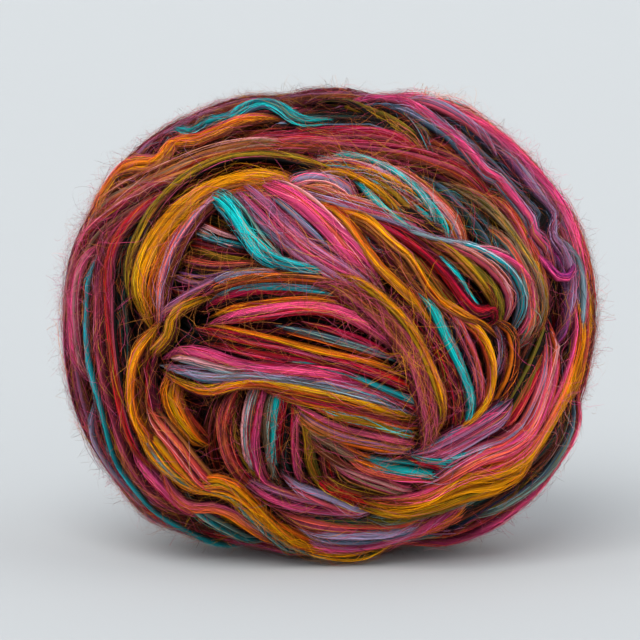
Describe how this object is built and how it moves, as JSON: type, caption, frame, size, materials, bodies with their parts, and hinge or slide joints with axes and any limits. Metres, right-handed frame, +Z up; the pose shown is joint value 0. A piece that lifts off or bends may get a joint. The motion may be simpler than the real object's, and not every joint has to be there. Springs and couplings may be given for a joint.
{
  "type": "wool roving ball",
  "caption": "Loosely hand-wound ball of thick dyed wool roving, its turns crossing in a knot on the front face and wrapped plainly over the rim and the back.",
  "frame": {"origin": "middle of the flat spot that the ball rests on", "axes": "+X to the viewer's right and +Z up, with the knotted front face looking along -Y and tipped 8 degrees upwards"},
  "size_m": [0.1992, 0.1534, 0.1767],
  "materials": {
    "wool_roving": "matte combed wool with a faint silky sheen, dyed in streaks of orange, crimson, pink, teal, mauve and black"
  },
  "bodies": {
    "root": {"roving_ball": "wool_roving"}
  },
  "joints": []
}
